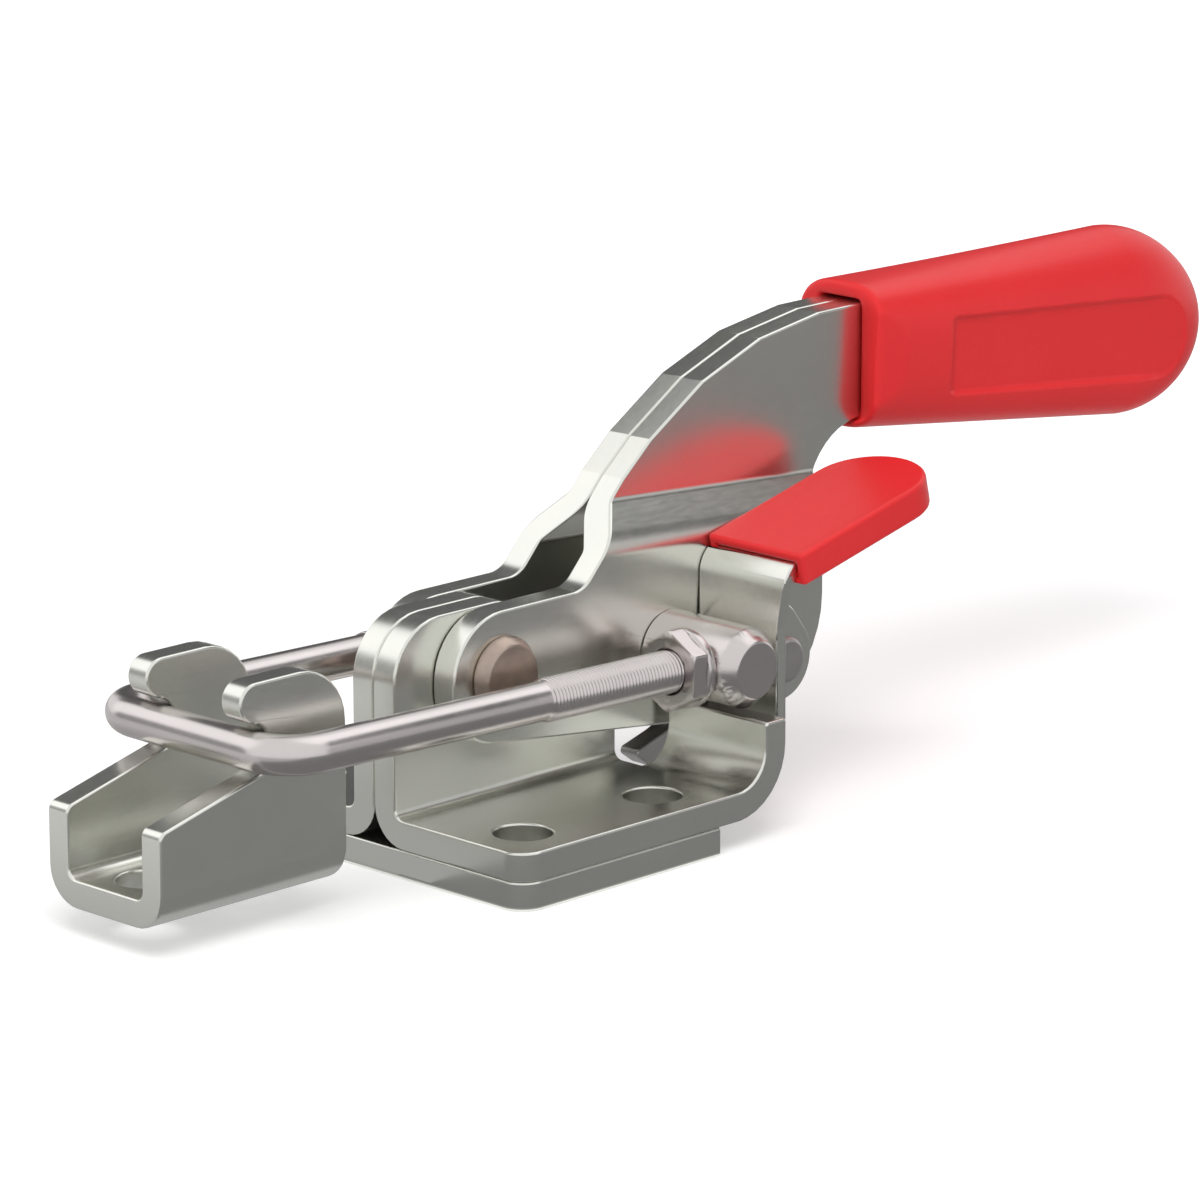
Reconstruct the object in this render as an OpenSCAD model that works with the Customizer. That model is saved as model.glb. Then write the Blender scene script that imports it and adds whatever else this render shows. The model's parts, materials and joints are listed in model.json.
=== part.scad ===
// Pull action latch clamp with a U-bolt, a catch plate and a release lever.
// The origin is on the mounting plane, at the middle of the base plate's front edge.
// X runs back towards the grip, Y across the clamp and Z up.

/* [Base] */
// Width of the base across the clamp
base_w = 63; // [61:1:65]
// Length of the flat base plate
base_l = 42.3; // [41.5:0.1:43]
// Thickness of the base, its flanges and the handle plates
sheet_t = 4.5; // [4.3:0.1:4.6]
// Radius of the base's two front corners in plan
corner_r = 4; // [2:0.5:6]
// Radius of the base plate's two rear corners in plan
rear_corner_r = 0.6; // [0.4:0.1:2]
// Diameter of the four mounting holes
hole_d = 9; // [7:0.5:10]
// Hole spacing along the clamp
hole_pitch_x = 27.5; // [26:0.5:28]
// Hole spacing across the clamp
hole_pitch_y = 45; // [43:0.5:46]
// Front edge of the base to the first pair of holes
hole_edge = 9; // [8:0.5:9.5]
// Length of the upright webs
web_l = 47; // [46:0.5:47.5]
// Inside radius of the bend between web and flange
web_bend_r = 1.5; // [1:0.25:2]
// Distance of the rear wall's outer face from the front edge
wall_x = 56.5; // [56:0.25:57]
// Height of the rear walls
wall_h = 18.8; // [18:0.2:19]
// Inside radius of the bend below each rear wall
wall_bend_r = 6; // [5:0.5:6.5]
// Gap between the two rear walls
wall_gap = 21.6; // [21:0.2:24]

/* [Main pivot] */
// Distance of the main pivot from the front edge
pivot_x = 18; // [17.5:0.25:18.5]
// Height of the main pivot
pivot_z = 28.5; // [28:0.25:29]
// Diameter of the pivot pin
pivot_d = 10; // [9:0.25:10.5]
// Diameter of the pin's riveted heads
pivot_head_d = 12.6; // [12:0.2:14]
// Height of the pin's riveted heads
pivot_head_h = 2.4; // [2:0.1:3]
// Outside diameter of the bush in the webs
bush_d = 13; // [12.5:0.25:14]
// Running clearance on the radius of every pin
fit_gap = 0.05; // [0.03:0.01:0.08]
// Side clearance between the webs and the handle plates
side_gap = 0.15; // [0.1:0.05:0.25]

/* [Handle plates] */
// Radius of the rounded front end about the main pivot
lobe_r = 10.1; // [9.8:0.1:10.3]
// Slope of the steep front edge in degrees
rise_angle = 47.3; // [46.5:0.2:48]
// Start of the steep front edge behind the main pivot
rise_x = 17.3; // [17:0.1:17.6]
// Length of the steep front edge, measured along the clamp
rise_l = 13.2; // [12.8:0.1:13.6]
// Radius of the arm's curved front edge
arm_r = 67.2; // [66.5:0.1:68]
// Height of the top of the arm
arm_top_z = 72.4; // [72:0.2:72.8]
// Distance of the arm curve's centre from the front edge
arm_x = 96; // [95.5:0.25:96.5]
// Angle between the corners of the blanked front edge
arm_step = 11.7; // [10:0.1:12]
// Angle from the top of the arm's curve to its last corner
arm_last = 3; // [2:0.5:5]
// Underside of the tang inside the grip
tang_bottom_z = 53.9; // [53.5:0.1:54.3]
// Rear end of the tang
tang_end_x = 150; // [140:1:155]
// Height of the tang at its rear end
tang_end_h = 14; // [12:0.5:15]
// Height of the joggle between fork and arm, above the end of the steep edge
joggle_z = 47; // [46.6:0.1:47.4]
// Height over which the joggle runs
joggle_h = 5.5; // [5:0.1:5.8]
// Fall of the joggle towards the rear in degrees
joggle_tilt = 3.6; // [3:0.2:4.2]
// Inside radius of the joggle's two bends
joggle_bend_r = 1.5; // [1:0.25:2.5]
// Distance of the handle plates' rear edge from the front edge
heel_x = 89; // [88.8:0.1:89.4]
// Radius of the rounded heel below the rear edge
heel_r = 16.5; // [15:0.5:17]
// Height of the heel's lowest point
heel_z = 9.9; // [9.6:0.1:10.2]
// Radius of the curve from the rear edge into the tang
tang_r = 12.6; // [11.8:0.2:13]

/* [Grip] */
// Position of the grip's open end
grip_x = 101.8; // [101.4:0.1:102.2]
// Height of the grip's axis at its open end
grip_z = 63.7; // [63.5:0.1:63.9]
// Fall of the grip towards the rear in degrees
grip_tilt = 3.4; // [3:0.1:3.8]
// Length from the open end to the start of the rounded end
grip_l = 63.4; // [60:0.2:66]
// Length of the rounded end
grip_end_l = 21.4; // [16:0.2:24]
// Height of the grip at its open end
mouth_h = 23.3; // [23:0.1:24]
// Thickness of the grip at its open end
mouth_t = 18.9; // [18.5:0.1:19.5]
// Height of the grip where its rounded end starts
grip_h = 31.2; // [30:0.2:33]
// Thickness of the grip where its rounded end starts
grip_t = 21.4; // [20:0.2:22]
// Squareness of the open end's oval, where 2 is an ellipse
mouth_square = 3.2; // [2.8:0.1:4]
// Squareness of the grip's back
back_square = 1.9; // [1.9:0.1:2.6]
// Squareness of the grip's underside
under_square = 3.9; // [3:0.1:4.5]
// Thickness across the two flats at the open end
flat_t = 17.7; // [17:0.1:18.4]
// Slope of the two flats in degrees
flat_angle = 7; // [5:0.5:9]
// Gap over the tang at the open end
slot_gap = 1.3; // [0.8:0.1:1.5]
// Depth of the bare recess on each side
panel_depth = 0.8; // [0.4:0.1:1]
// Distance of the recess from the open end
panel_x = 16.2; // [14:0.2:18]
// Length of the recess
panel_l = 59.4; // [50:0.2:60]
// Height of the recess at its front end
panel_h = 12.7; // [11:0.1:13.5]

/* [U-bolt] */
// Distance of the trunnion axis from the front edge
trunnion_x = 53.9; // [53.6:0.1:54]
// Height of the trunnion axis
trunnion_z = 26; // [25.8:0.1:26.2]
// Diameter of the trunnions
trunnion_d = 12.6; // [12.3:0.1:12.7]
// Diameter of the flat end of each trunnion
trunnion_tip_d = 8.8; // [8:0.2:10]
// Length of the chamfer at the outer end
trunnion_chamfer = 2.3; // [2:0.1:3]
// Diameter of the journal that turns in the handle plate
journal_d = 10; // [9:0.25:10.5]
// Distance of the trunnion's outer end from the middle
trunnion_end_y = 27.8; // [27.4:0.1:28.2]
// Distance of the hook bar in front of the base
bar_x = 35.4; // [35.3:0.05:35.5]
// Height of the hook bar
bar_z = 28.4; // [28.35:0.05:28.45]
// Diameter of the rod
rod_d = 6; // [5.8:0.1:6.1]
// Outside diameter of the thread
thread_d = 6.7; // [6.4:0.05:6.8]
// Centre distance of the two legs
leg_pitch = 38.5; // [38:0.25:39]
// Centre line radius of the two bends
bolt_bend_r = 7.5; // [6.5:0.25:8]
// Length of the thread in front of the trunnion
thread_l = 38.5; // [35:0.5:40]
// Width across flats of the hexagon nuts
nut_af = 11.2; // [11:0.1:11.6]
// Height of the nuts' hexagon
nut_h = 3; // [2.6:0.1:3.2]
// Diameter of the round collar behind the hexagon
collar_d = 13; // [12.8:0.1:13.4]
// Height of the collar
collar_h = 1.5; // [1.3:0.1:1.7]

/* [Release lever] */
// Distance of the lever shaft from the front edge
shaft_x = 76.9; // [76.7:0.1:77.2]
// Height of the lever shaft
shaft_z = 20.4; // [20.2:0.1:20.6]
// Diameter of the lever shaft
shaft_d = 5; // [4.5:0.25:5.5]
// Diameter of the shaft's heads
shaft_head_d = 7.4; // [7:0.2:8]
// Height of the shaft's heads
shaft_head_h = 1.7; // [1.4:0.1:2]
// Thickness of the lever's sheet
lever_t = 2.2; // [2:0.1:2.3]
// Distance of the lever's upright face from the front edge
lever_x = 60.35; // [60.35:0.05:60.6]
// Height of the lever's lower edge
lever_bottom_z = 12; // [11.5:0.1:12.4]
// Width of the lever's upright face at its lower end
lever_w = 16.6; // [16.4:0.1:17]
// Inside radius of the bend between the upright face and the ear
ear_bend_r = 0.9; // [0.6:0.1:1.2]
// Outside radius of the bend into the pad
pad_bend_r = 4.8; // [4.4:0.2:5.4]
// Slope of the pad in degrees
pad_angle = 13.5; // [13:0.5:14.5]
// Radius of the ear about the shaft
ear_r = 6.8; // [6.5:0.1:7.1]
// Position of the cap's front edge
cap_x = 62.1; // [62:0.1:62.6]
// Height of the cap's front edge
cap_z = 42.7; // [42.5:0.1:42.9]
// Length of the moulded cap
cap_l = 35; // [33:0.5:37]
// Width of the moulded cap
cap_w = 19.8; // [19.2:0.2:20]
// Thickness of the moulded cap
cap_t = 5.2; // [4.8:0.1:5.6]
// Wall of the moulded cap round the lever's pad
cap_wall = 1.8; // [1.6:0.1:2]
// Length of the cap's rounded end
cap_round = 9; // [7:0.5:9.5]
// Height of the ear's top edge
ear_top_z = 29.6; // [29:0.2:30]
// Lean of the ear's rear edge in degrees
ear_lean = 37; // [34:1:40]
// Thickness of the lock hook
hook_t = 4; // [3.6:0.1:4.2]
// Position of the lock hook's nose
hook_nose_x = 50.8; // [50.4:0.1:51.2]
// Height of the lock hook's nose
hook_nose_z = 8.8; // [8.5:0.1:9.1]
// Length of the nose to the foot of the hook's neck
hook_nose_l = 8.4; // [7.8:0.1:9]
// Radius of the hook round the shaft
hook_r = 7; // [6.6:0.1:7.4]
// Diameter of the spring wire
wire_d = 1.1; // [0.8:0.1:1.1]
// Diameter of the spring anchor pin
anchor_d = 4; // [3.5:0.1:4.5]

/* [Catch plate] */
// Width of the catch plate
catch_w = 24.5; // [24:0.25:25]
// Thickness of the catch plate
catch_t = 4.3; // [4:0.1:4.5]
// Inside radius of the catch plate's bends
catch_bend_r = 1.5; // [1:0.25:2.5]
// Front end of the catch plate, in front of the base
catch_front = 53; // [52:0.5:54]
// Rear end of the catch plate, in front of the base
catch_rear = 16.8; // [16.5:0.1:18]
// Height of the side walls at the front end
catch_front_z = 19.5; // [19:0.1:19.6]
// Slope of the side walls' top edge in degrees
catch_slope = 14.4; // [14:0.1:14.6]
// Forward reach of the two fingers, in front of the base
finger_tip = 37.4; // [37:0.1:38]
// Underside of the fingers
finger_z = 32.2; // [32.1:0.05:32.3]
// Thickness of the fingers
finger_h = 6; // [5.6:0.2:6.4]
// Rounding above the rear end
catch_round_r = 9; // [7:0.5:9.5]
// Diameter of the two mounting holes
catch_hole_d = 9; // [7:0.5:9.5]
// Front end of the catch plate to its first hole
catch_hole_edge = 8; // [7:0.5:9]
// Spacing of the two mounting holes
catch_hole_pitch = 20; // [16:0.5:21]

/* [Hidden] */
$fn = 64;

steel = "#b4b8b0";
stainless = "#b9b2b0";
copper = "#9b8078";
red = "#e8383a";
dark_steel = "#6e6c6a";

// The handle plates sit one sheet plus the side clearance from the middle
plate_in = sheet_t + side_gap;
plate_out = plate_in + sheet_t;
seat_gap = 0.1;
hook_angle = atan2(bar_z - trunnion_z, trunnion_x + bar_x);
leg_l = norm([trunnion_x + bar_x, bar_z - trunnion_z]);
leg_y = leg_pitch / 2;
arm_z = arm_top_z - arm_r;
lobe_top_z = pivot_z + lobe_r;
wall_in_x = wall_x - sheet_t;
rise_end_x = pivot_x + rise_x + rise_l;
cap_y = plate_out + seat_gap;
pad_y = cap_y + cap_wall;
lever_side = cap_y + lever_w;
pad_w = cap_w - 2 * cap_wall;
pad_cover = (cap_t - lever_t) / 2;
hook_side = plate_in - seat_gap;
coil_r = (shaft_d + wire_d) / 2 + 0.4;
// The spring's leg has room to turn with the lever before it meets the anchor pin
anchor_x = shaft_x + coil_r + (wire_d + anchor_d) / 2 + 1.2;
anchor_z = shaft_z + 11;

// Arc from one angle to another, as a list of points
function arc(c, r, a0, a1, n = 12) =
    [for (i = [0 : n]) c + r * [cos(a0 + (a1 - a0) * i / n), sin(a0 + (a1 - a0) * i / n)]];

function unit(v) = v / norm(v);

// Fillet of radius r that replaces the corner p between its neighbours a and b
function fillet(a, p, b, r, n) =
    let (u = unit(a - p), v = unit(b - p), half = acos(u * v) / 2,
         c = p + unit(u + v) * r / sin(half),
         from = p + u * r / tan(half) - c, to = p + v * r / tan(half) - c,
         a0 = atan2(from[1], from[0]), turn = atan2(to[1], to[0]) - a0)
    arc(c, r, a0, a0 + turn - 360 * round(turn / 360), n);

// Outline through corners [x, y, radius], with each radius rounded
function rounded(pts, n = 8) =
    [for (i = [0 : len(pts) - 1])
        let (k = len(pts), p = pts[i], a = pts[(i + k - 1) % k], b = pts[(i + 1) % k])
        each p[2] > 0
            ? fillet([a[0], a[1]], [p[0], p[1]], [b[0], b[1]], p[2], n)
            : [[p[0], p[1]]]];

// Stands an outline drawn in X and Z upright, from y0 to y1
module side_profile(y0, y1) {
    translate([0, y1, 0]) rotate([90, 0, 0]) linear_extrude(y1 - y0) children();
}

// Runs an outline drawn in Y and Z along X, from x0 to x1
module cross_profile(x0, x1) {
    translate([x0, 0, 0]) rotate([90, 0, 90]) linear_extrude(x1 - x0) children();
}

// Cylinder across the clamp, from y0 to y1
module cross_rod(x, z, d, y0, y1) {
    translate([x, y1, z]) rotate([90, 0, 0]) cylinder(d = d, h = y1 - y0);
}

module mirrored(far) {
    if (far) mirror([0, 1, 0]) children();
    else children();
}

module mounting_holes() {
    for (x = [hole_edge, hole_edge + hole_pitch_x], y = [-1, 1] * hole_pitch_y / 2)
        translate([x, y, -1]) cylinder(d = hole_d, h = wall_h);
}

module base_plate() {
    w = base_w / 2;
    color(steel) difference() {
        linear_extrude(sheet_t)
            polygon(rounded([[0, -w, corner_r], [base_l, -w, rear_corner_r],
                             [base_l, w, rear_corner_r], [0, w, corner_r]]));
        mounting_holes();
    }
}

// Web and flange: one bent sheet, seen along the clamp
module web_section() {
    w = base_w / 2;
    polygon(rounded([[-w, sheet_t, 0], [0, sheet_t, sheet_t + web_bend_r],
                     [0, lobe_top_z, 0], [-sheet_t, lobe_top_z, 0],
                     [-sheet_t, 2 * sheet_t, web_bend_r], [-w, 2 * sheet_t, 0]]));
}

// Side view of the web, with its top rounded about the main pivot
module web_outline() {
    polygon(rounded([[0, 0, 0], [web_l, 0, 0], [web_l, 17, 3],
                     [pivot_x + lobe_r + 1, pivot_z + 1, 6],
                     [pivot_x + lobe_r - 2, lobe_top_z, lobe_r - 3],
                     [0, lobe_top_z, lobe_r - 0.6]]));
}

// Flange and rear wall: the same sheet, seen from the side
module wall_section() {
    r = wall_bend_r;
    polygon(rounded([[base_l - 4, sheet_t, 0], [wall_x, sheet_t, r + sheet_t],
                     [wall_x, wall_h, 0.6], [wall_in_x, wall_h, 0.6],
                     [wall_in_x, 2 * sheet_t, r], [base_l - 4, 2 * sheet_t, 0]]));
}

module base_half(far) {
    w = base_w / 2;
    color(steel) mirrored(far) difference() {
        union() {
            intersection() {
                cross_profile(0, web_l) web_section();
                side_profile(-w - 1, 1) web_outline();
            }
            side_profile(-w, -wall_gap / 2) wall_section();
        }
        // Rounded front corner of the flange
        difference() {
            translate([-1, -w - 1, 0]) cube([corner_r + 1, corner_r + 1, wall_h]);
            translate([corner_r, corner_r - w, -1]) cylinder(r = corner_r, h = wall_h + 2);
        }
        mounting_holes();
        cross_rod(pivot_x, pivot_z, bush_d, -w, w);
    }
}

module pivot_bush() {
    half = sheet_t + side_gap / 3;
    color(dark_steel) difference() {
        cross_rod(pivot_x, pivot_z, bush_d, -half, half);
        cross_rod(pivot_x, pivot_z, pivot_d + 2 * fit_gap, -half - 1, half + 1);
    }
}

module pivot_pin() {
    y = plate_out + seat_gap / 2;
    r = pivot_head_d / 2;
    color(copper) translate([pivot_x, 0, pivot_z]) rotate([90, 0, 0]) rotate_extrude()
        polygon([[0, -y - pivot_head_h], [r - 1.4, -y - pivot_head_h],
                 [r - 1, -y - pivot_head_h + 0.2], [r, -y - 0.7], [r, -y],
                 [pivot_d / 2, -y], [pivot_d / 2, y], [r, y], [r, y + 0.7],
                 [r - 1, y + pivot_head_h - 0.2], [r - 1.4, y + pivot_head_h],
                 [0, y + pivot_head_h]]);
}

// Side view of a handle plate: fork, steep front edge, curved arm and tang
module plate_outline() {
    arm_edge = [for (k = [3 : -1 : 0]) let (a = 90 + arm_last + k * arm_step)
        [arm_x + arm_r * cos(a), arm_z + arm_r * sin(a), 1.5]];
    polygon(rounded(concat(
        [[pivot_x - lobe_r, lobe_top_z, lobe_r - 0.01],
         [pivot_x + rise_x, lobe_top_z, 5],
         [rise_end_x, lobe_top_z + tan(rise_angle) * rise_l, 2]],
        arm_edge,
        [[grip_x + 2, arm_top_z, 8], [tang_end_x, tang_bottom_z + tang_end_h, 3],
         [tang_end_x, tang_bottom_z, 3],
         [heel_x + 2.8, tang_bottom_z, tang_r], [heel_x, shaft_z + 13, 20],
         [heel_x, heel_z, heel_r], [trunnion_x - 3, trunnion_z - 11.7, 30],
         [pivot_x - lobe_r, pivot_z - 9.2, lobe_r - 1]]), 10));
}

// Joggled sheet seen along the clamp: apart at the fork, together at the arm
module joggle_section() {
    shift = sheet_t * tan(atan2(plate_in, joggle_h) / 2);
    h = joggle_h / 2;
    r = joggle_bend_r;
    reach = 2 * arm_top_z;
    polygon(rounded([[-plate_out, -reach, 0], [-plate_out, -h, r + sheet_t], [-sheet_t, h, r],
                     [-sheet_t, reach, 0], [0, reach, 0], [0, h - shift, r + sheet_t],
                     [-plate_in, -h - shift, r], [-plate_in, -reach, 0]], 6));
}

module handle_plate(far) {
    color(steel) mirrored(far) difference() {
        intersection() {
            side_profile(-plate_out - 1, 1) plate_outline();
            translate([rise_end_x, 0, joggle_z]) rotate([0, joggle_tilt, 0])
                cross_profile(-2 * rise_end_x, tang_end_x) joggle_section();
        }
        cross_rod(pivot_x, pivot_z, pivot_d + 2 * fit_gap, -20, 0);
        cross_rod(trunnion_x, trunnion_z, journal_d + 2 * fit_gap, -20, 0);
        cross_rod(shaft_x, shaft_z, shaft_d + 2 * fit_gap, -20, 0);
        if (far) cross_rod(anchor_x, anchor_z, anchor_d + 2 * fit_gap, -20, 0);
    }
}

// Frame of the grip: origin at the middle of its open end, X along its axis
module grip_frame() {
    translate([grip_x, 0, grip_z]) rotate([0, grip_tilt, 0]) children();
}

// Point at the angle a on an oval of half width w and half height h, squarer as n grows
function oval(w, h, a, n) =
    let (k = pow(pow(abs(cos(a)), n) + pow(abs(sin(a)), n), -1 / n)) [w * k * cos(a), h * k * sin(a)];

// Ring of the grip's skin: at its open end, or at the angle b of its rounded end
function mouth_ring(sides) = [for (i = [0 : sides - 1])
    let (p = oval(mouth_t / 2, mouth_h / 2, 360 * i / sides, mouth_square)) [0, p[0], p[1]]];

function end_ring(b, sides) = [for (i = [0 : sides - 1])
    let (a = 360 * i / sides, r = grip_h / 2,
         z = cos(b) * oval(grip_t / 2, r, a, a < 180 ? back_square : under_square)[1],
         rise = sin(atan2(z, r * sin(b))),
         n = (back_square + under_square) / 2 + rise * (back_square - under_square) / 2,
         reach = min(norm([z, r * sin(b)]) / r, 1),
         y = grip_t / 2 * pow(1 - pow(reach, n), 1 / n))
    [grip_l + grip_end_l * sin(b), cos(a) < 0 ? -y : y, z]];

module grip_body() {
    sides = 36;
    ends = [0, 12, 24, 36, 48, 58, 67, 75, 82];
    points = concat(mouth_ring(sides), [for (b = ends) each end_ring(b, sides)],
                    [[grip_l + grip_end_l, 0, 0]]);
    last = len(ends) * sides;
    faces = concat([[for (j = [0 : sides - 1]) j]],
        [for (i = [0 : len(ends) - 1], j = [0 : sides - 1])
            let (k = (j + 1) % sides, b = i * sides) [b + j, b + sides + j, b + sides + k, b + k]],
        [for (j = [0 : sides - 1]) [last + j, last + sides, last + (j + 1) % sides]]);
    polyhedron(points, faces, convexity = 4);
}

// Side view of the bare recess, in the frame of the grip
module panel_outline() {
    x1 = panel_x + panel_l;
    polygon(rounded([[panel_x, panel_h / 2 - 0.7, 2], [x1, panel_h / 2 - 1.6, 7],
                     [x1, -panel_h / 2 - 3, 7], [panel_x, -panel_h / 2 - 0.7, 2]]));
}

module handle_grip() {
    side_angle = atan((grip_t - mouth_t) / 2 / grip_l);
    color(red) difference() {
        grip_frame() difference() {
            grip_body();
            for (far = [false, true]) mirrored(far) {
                translate([0, -flat_t / 2, 0]) rotate([0, 0, -flat_angle])
                    translate([-grip_t, -grip_t, -grip_h])
                        cube([grip_l, grip_t, 2 * grip_h]);
                translate([0, panel_depth - mouth_t / 2, 0]) rotate([0, 0, -side_angle])
                    side_profile(-grip_t / 2, 0) panel_outline();
            }
        }
        // Slot for the tang, higher than the tang at the open end
        side_profile(-sheet_t - seat_gap, sheet_t + seat_gap)
            polygon([[grip_x - 5, tang_bottom_z - seat_gap],
                     [tang_end_x + 0.3, tang_bottom_z - seat_gap],
                     [tang_end_x + 0.3, tang_bottom_z + tang_end_h + seat_gap],
                     [grip_x + 3, arm_top_z + slot_gap], [grip_x - 5, arm_top_z + slot_gap]]);
    }
}

module spring_anchor_pin() {
    color(dark_steel) cross_rod(anchor_x, anchor_z, anchor_d, seat_gap - plate_in, plate_out);
}

// Frame of the U-bolt: origin on the trunnion axis, X back along the legs
module bolt_frame() {
    translate([trunnion_x, 0, trunnion_z]) rotate([0, hook_angle, 0]) children();
}

module trunnion(far) {
    r = trunnion_d / 2;
    y0 = plate_out + seat_gap;
    color(stainless) mirrored(far) bolt_frame() difference() {
        rotate([90, 0, 0]) rotate_extrude()
            polygon([[0, plate_in + 0.1], [journal_d / 2 - 0.5, plate_in + 0.1],
                     [journal_d / 2, plate_in + 0.6], [journal_d / 2, y0],
                     [r, y0], [r, trunnion_end_y - trunnion_chamfer],
                     [trunnion_tip_d / 2, trunnion_end_y], [0, trunnion_end_y]]);
        translate([-r - 1, -leg_y, 0]) rotate([0, 90, 0])
            cylinder(d = thread_d + 2 * fit_gap, h = 2 * r + 2);
    }
}

module u_bolt() {
    r = bolt_bend_r;
    back = trunnion_d / 2 - 1;
    color(stainless) bolt_frame() {
        for (s = [-1, 1]) translate([0, s * leg_y, 0]) rotate([0, -90, 0]) {
            cylinder(d = rod_d, h = leg_l - r);
            translate([0, 0, -back]) cylinder(d = thread_d, h = back + thread_l);
        }
        translate([-leg_l, leg_y - r, 0]) rotate([90, 0, 0])
            cylinder(d = rod_d, h = leg_pitch - 2 * r);
        for (s = [-1, 1])
            translate([r - leg_l, s * (leg_y - r), 0])
                rotate([0, 0, s > 0 ? 90 : 180])
                    rotate_extrude(angle = 90) translate([r, 0]) circle(d = rod_d);
    }
}

// Thin hexagon nut with a round collar that bears on the trunnion
module hex_nut(s) {
    r = nut_af / 2;
    corner = nut_af / sqrt(3);
    top = collar_h + nut_h;
    edge = (corner - r) / 3;
    color(stainless) bolt_frame()
        translate([-trunnion_d / 2 - fit_gap, s * leg_y, 0]) rotate([0, -90, 0])
            difference() {
                union() {
                    cylinder(d = collar_d, h = collar_h);
                    intersection() {
                        cylinder(r = corner, h = top, $fn = 6);
                        rotate_extrude()
                            polygon([[0, 0], [corner, 0], [corner, top - edge],
                                     [corner - edge, top], [0, top]]);
                    }
                }
                translate([0, 0, -1]) cylinder(d = thread_d + 2 * fit_gap, h = top + 2);
            }
}

// Side view of the lever's upright face and pad as one bent strip, grown by g all round
module lever_strip(g = 0) {
    u = [cos(pad_angle), sin(pad_angle)];
    n = [-u[1], u[0]];
    top = [cap_x, cap_z] - n * (pad_cover - g);
    low = top - n * (lever_t + 2 * g);
    face = lever_x - g;
    back = lever_x + lever_t + g;
    tip = cap_l - cap_wall + g;
    polygon(rounded([[face, lever_bottom_z - g, 0.4],
                     [face, top[1] + u[1] / u[0] * (face - top[0]), pad_bend_r + g],
                     [top[0] + u[0] * tip, top[1] + u[1] * tip, 0.4],
                     [low[0] + u[0] * tip, low[1] + u[1] * tip, 0.4],
                     [back, low[1] + u[1] / u[0] * (back - low[0]), pad_bend_r - lever_t - g],
                     [back, lever_bottom_z - g, 0.4]], 10));
}

// Plan of the cap or, inset by its wall, of the pad: straight sides and a rounded end
module pad_plan(inset, front) {
    half = cap_w / 2 - inset;
    end = cap_l - inset;
    polygon([[front, -half], each [for (a = [-90 : 7.5 : 90])
                 [end - cap_round + cap_round * cos(a), half * sin(a)]],
             [front, half]]);
}

// Frame of the cap: X along its slope, Z square to its top face
module cap_frame() {
    translate([cap_x, -cap_y - cap_w / 2, cap_z]) rotate([0, -pad_angle, 0]) children();
}

// The pad inside the cap, with the bend below it, grown by g all round
module lever_pad(g = 0) {
    intersection() {
        side_profile(-pad_y - pad_w - g, g - pad_y) lever_strip(g);
        cap_frame() translate([0, 0, -3 * cap_t]) linear_extrude(4 * cap_t)
            pad_plan(cap_wall - g, -cap_t);
    }
}

// Side view of the ear: round about the lever shaft, with a leaning rear edge above
module ear_outline() {
    rear = [shaft_x + ear_r * cos(ear_lean), shaft_z + ear_r * sin(ear_lean)];
    translate([shaft_x, shaft_z]) circle(r = ear_r);
    polygon(rounded([[lever_x, lever_bottom_z, 0.6], [shaft_x, shaft_z - ear_r, 0],
                     [rear[0], rear[1], 0],
                     [rear[0] - (ear_top_z - rear[1]) * tan(ear_lean), ear_top_z, 5],
                     [lever_x, ear_top_z, 0]]));
}

// Plan of the bend between the ear and the upright face
module ear_section() {
    ear_y = cap_y + lever_t;
    back = shaft_x + 2 * ear_r;
    polygon(rounded([[lever_x, -lever_side, 0.4], [lever_x, -cap_y, lever_t + ear_bend_r],
                     [back, -cap_y, 0], [back, -ear_y, 0],
                     [lever_x + lever_t, -ear_y, ear_bend_r],
                     [lever_x + lever_t, -lever_side, 0.4]]));
}

// Front view of the upright face above the ear, wider towards the pad
module lever_front() {
    pad_side = pad_y + pad_w;
    low = ear_top_z - 0.5;
    polygon(rounded([[-lever_side, low, 0], [-cap_y, low, 0], [-cap_y, 2 * cap_z, 0],
                     [-pad_side, 2 * cap_z, 0], [-pad_side, cap_z - 4, 8],
                     [-lever_side, low + 2, 8]]));
}

module release_lever() {
    color(steel) difference() {
        union() {
            intersection() {
                translate([0, 0, lever_bottom_z - 2])
                    linear_extrude(ear_top_z - lever_bottom_z + 2) ear_section();
                union() {
                    side_profile(-cap_y - lever_t, 0) ear_outline();
                    side_profile(-lever_side, -cap_y - lever_t) lever_strip();
                }
            }
            intersection() {
                cross_profile(lever_x - 1, cap_x + cap_l) lever_front();
                union() {
                    lever_pad();
                    // The full width, up to the cap's front face
                    difference() {
                        side_profile(-pad_y - pad_w, -cap_y) lever_strip();
                        cap_frame() translate([-seat_gap, -cap_w, -3 * cap_t])
                            cube([cap_l, 2 * cap_w, 4 * cap_t]);
                    }
                }
            }
        }
        cross_rod(shaft_x, shaft_z, shaft_d + 2 * fit_gap, -20, 0);
    }
}

module lever_cap() {
    color(red) difference() {
        cap_frame() translate([0, 0, -cap_t]) linear_extrude(cap_t) pad_plan(0, 0);
        lever_pad(fit_gap);
    }
}

// Side view of the lock hook between the handle plates
module hook_outline() {
    r = hook_r - 0.5;
    polygon(rounded([[hook_nose_x, hook_nose_z, 0.8], [hook_nose_x + hook_nose_l, hook_nose_z + 2.4, 6],
                     [shaft_x - 5, shaft_z + hook_r, 4], [shaft_x + hook_r, shaft_z + hook_r, r],
                     [shaft_x + hook_r, shaft_z - hook_r, r], [shaft_x - 8, shaft_z - 11.5, 6],
                     [hook_nose_x + hook_nose_l / 2, hook_nose_z - 3, 2.5]]));
}

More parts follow.
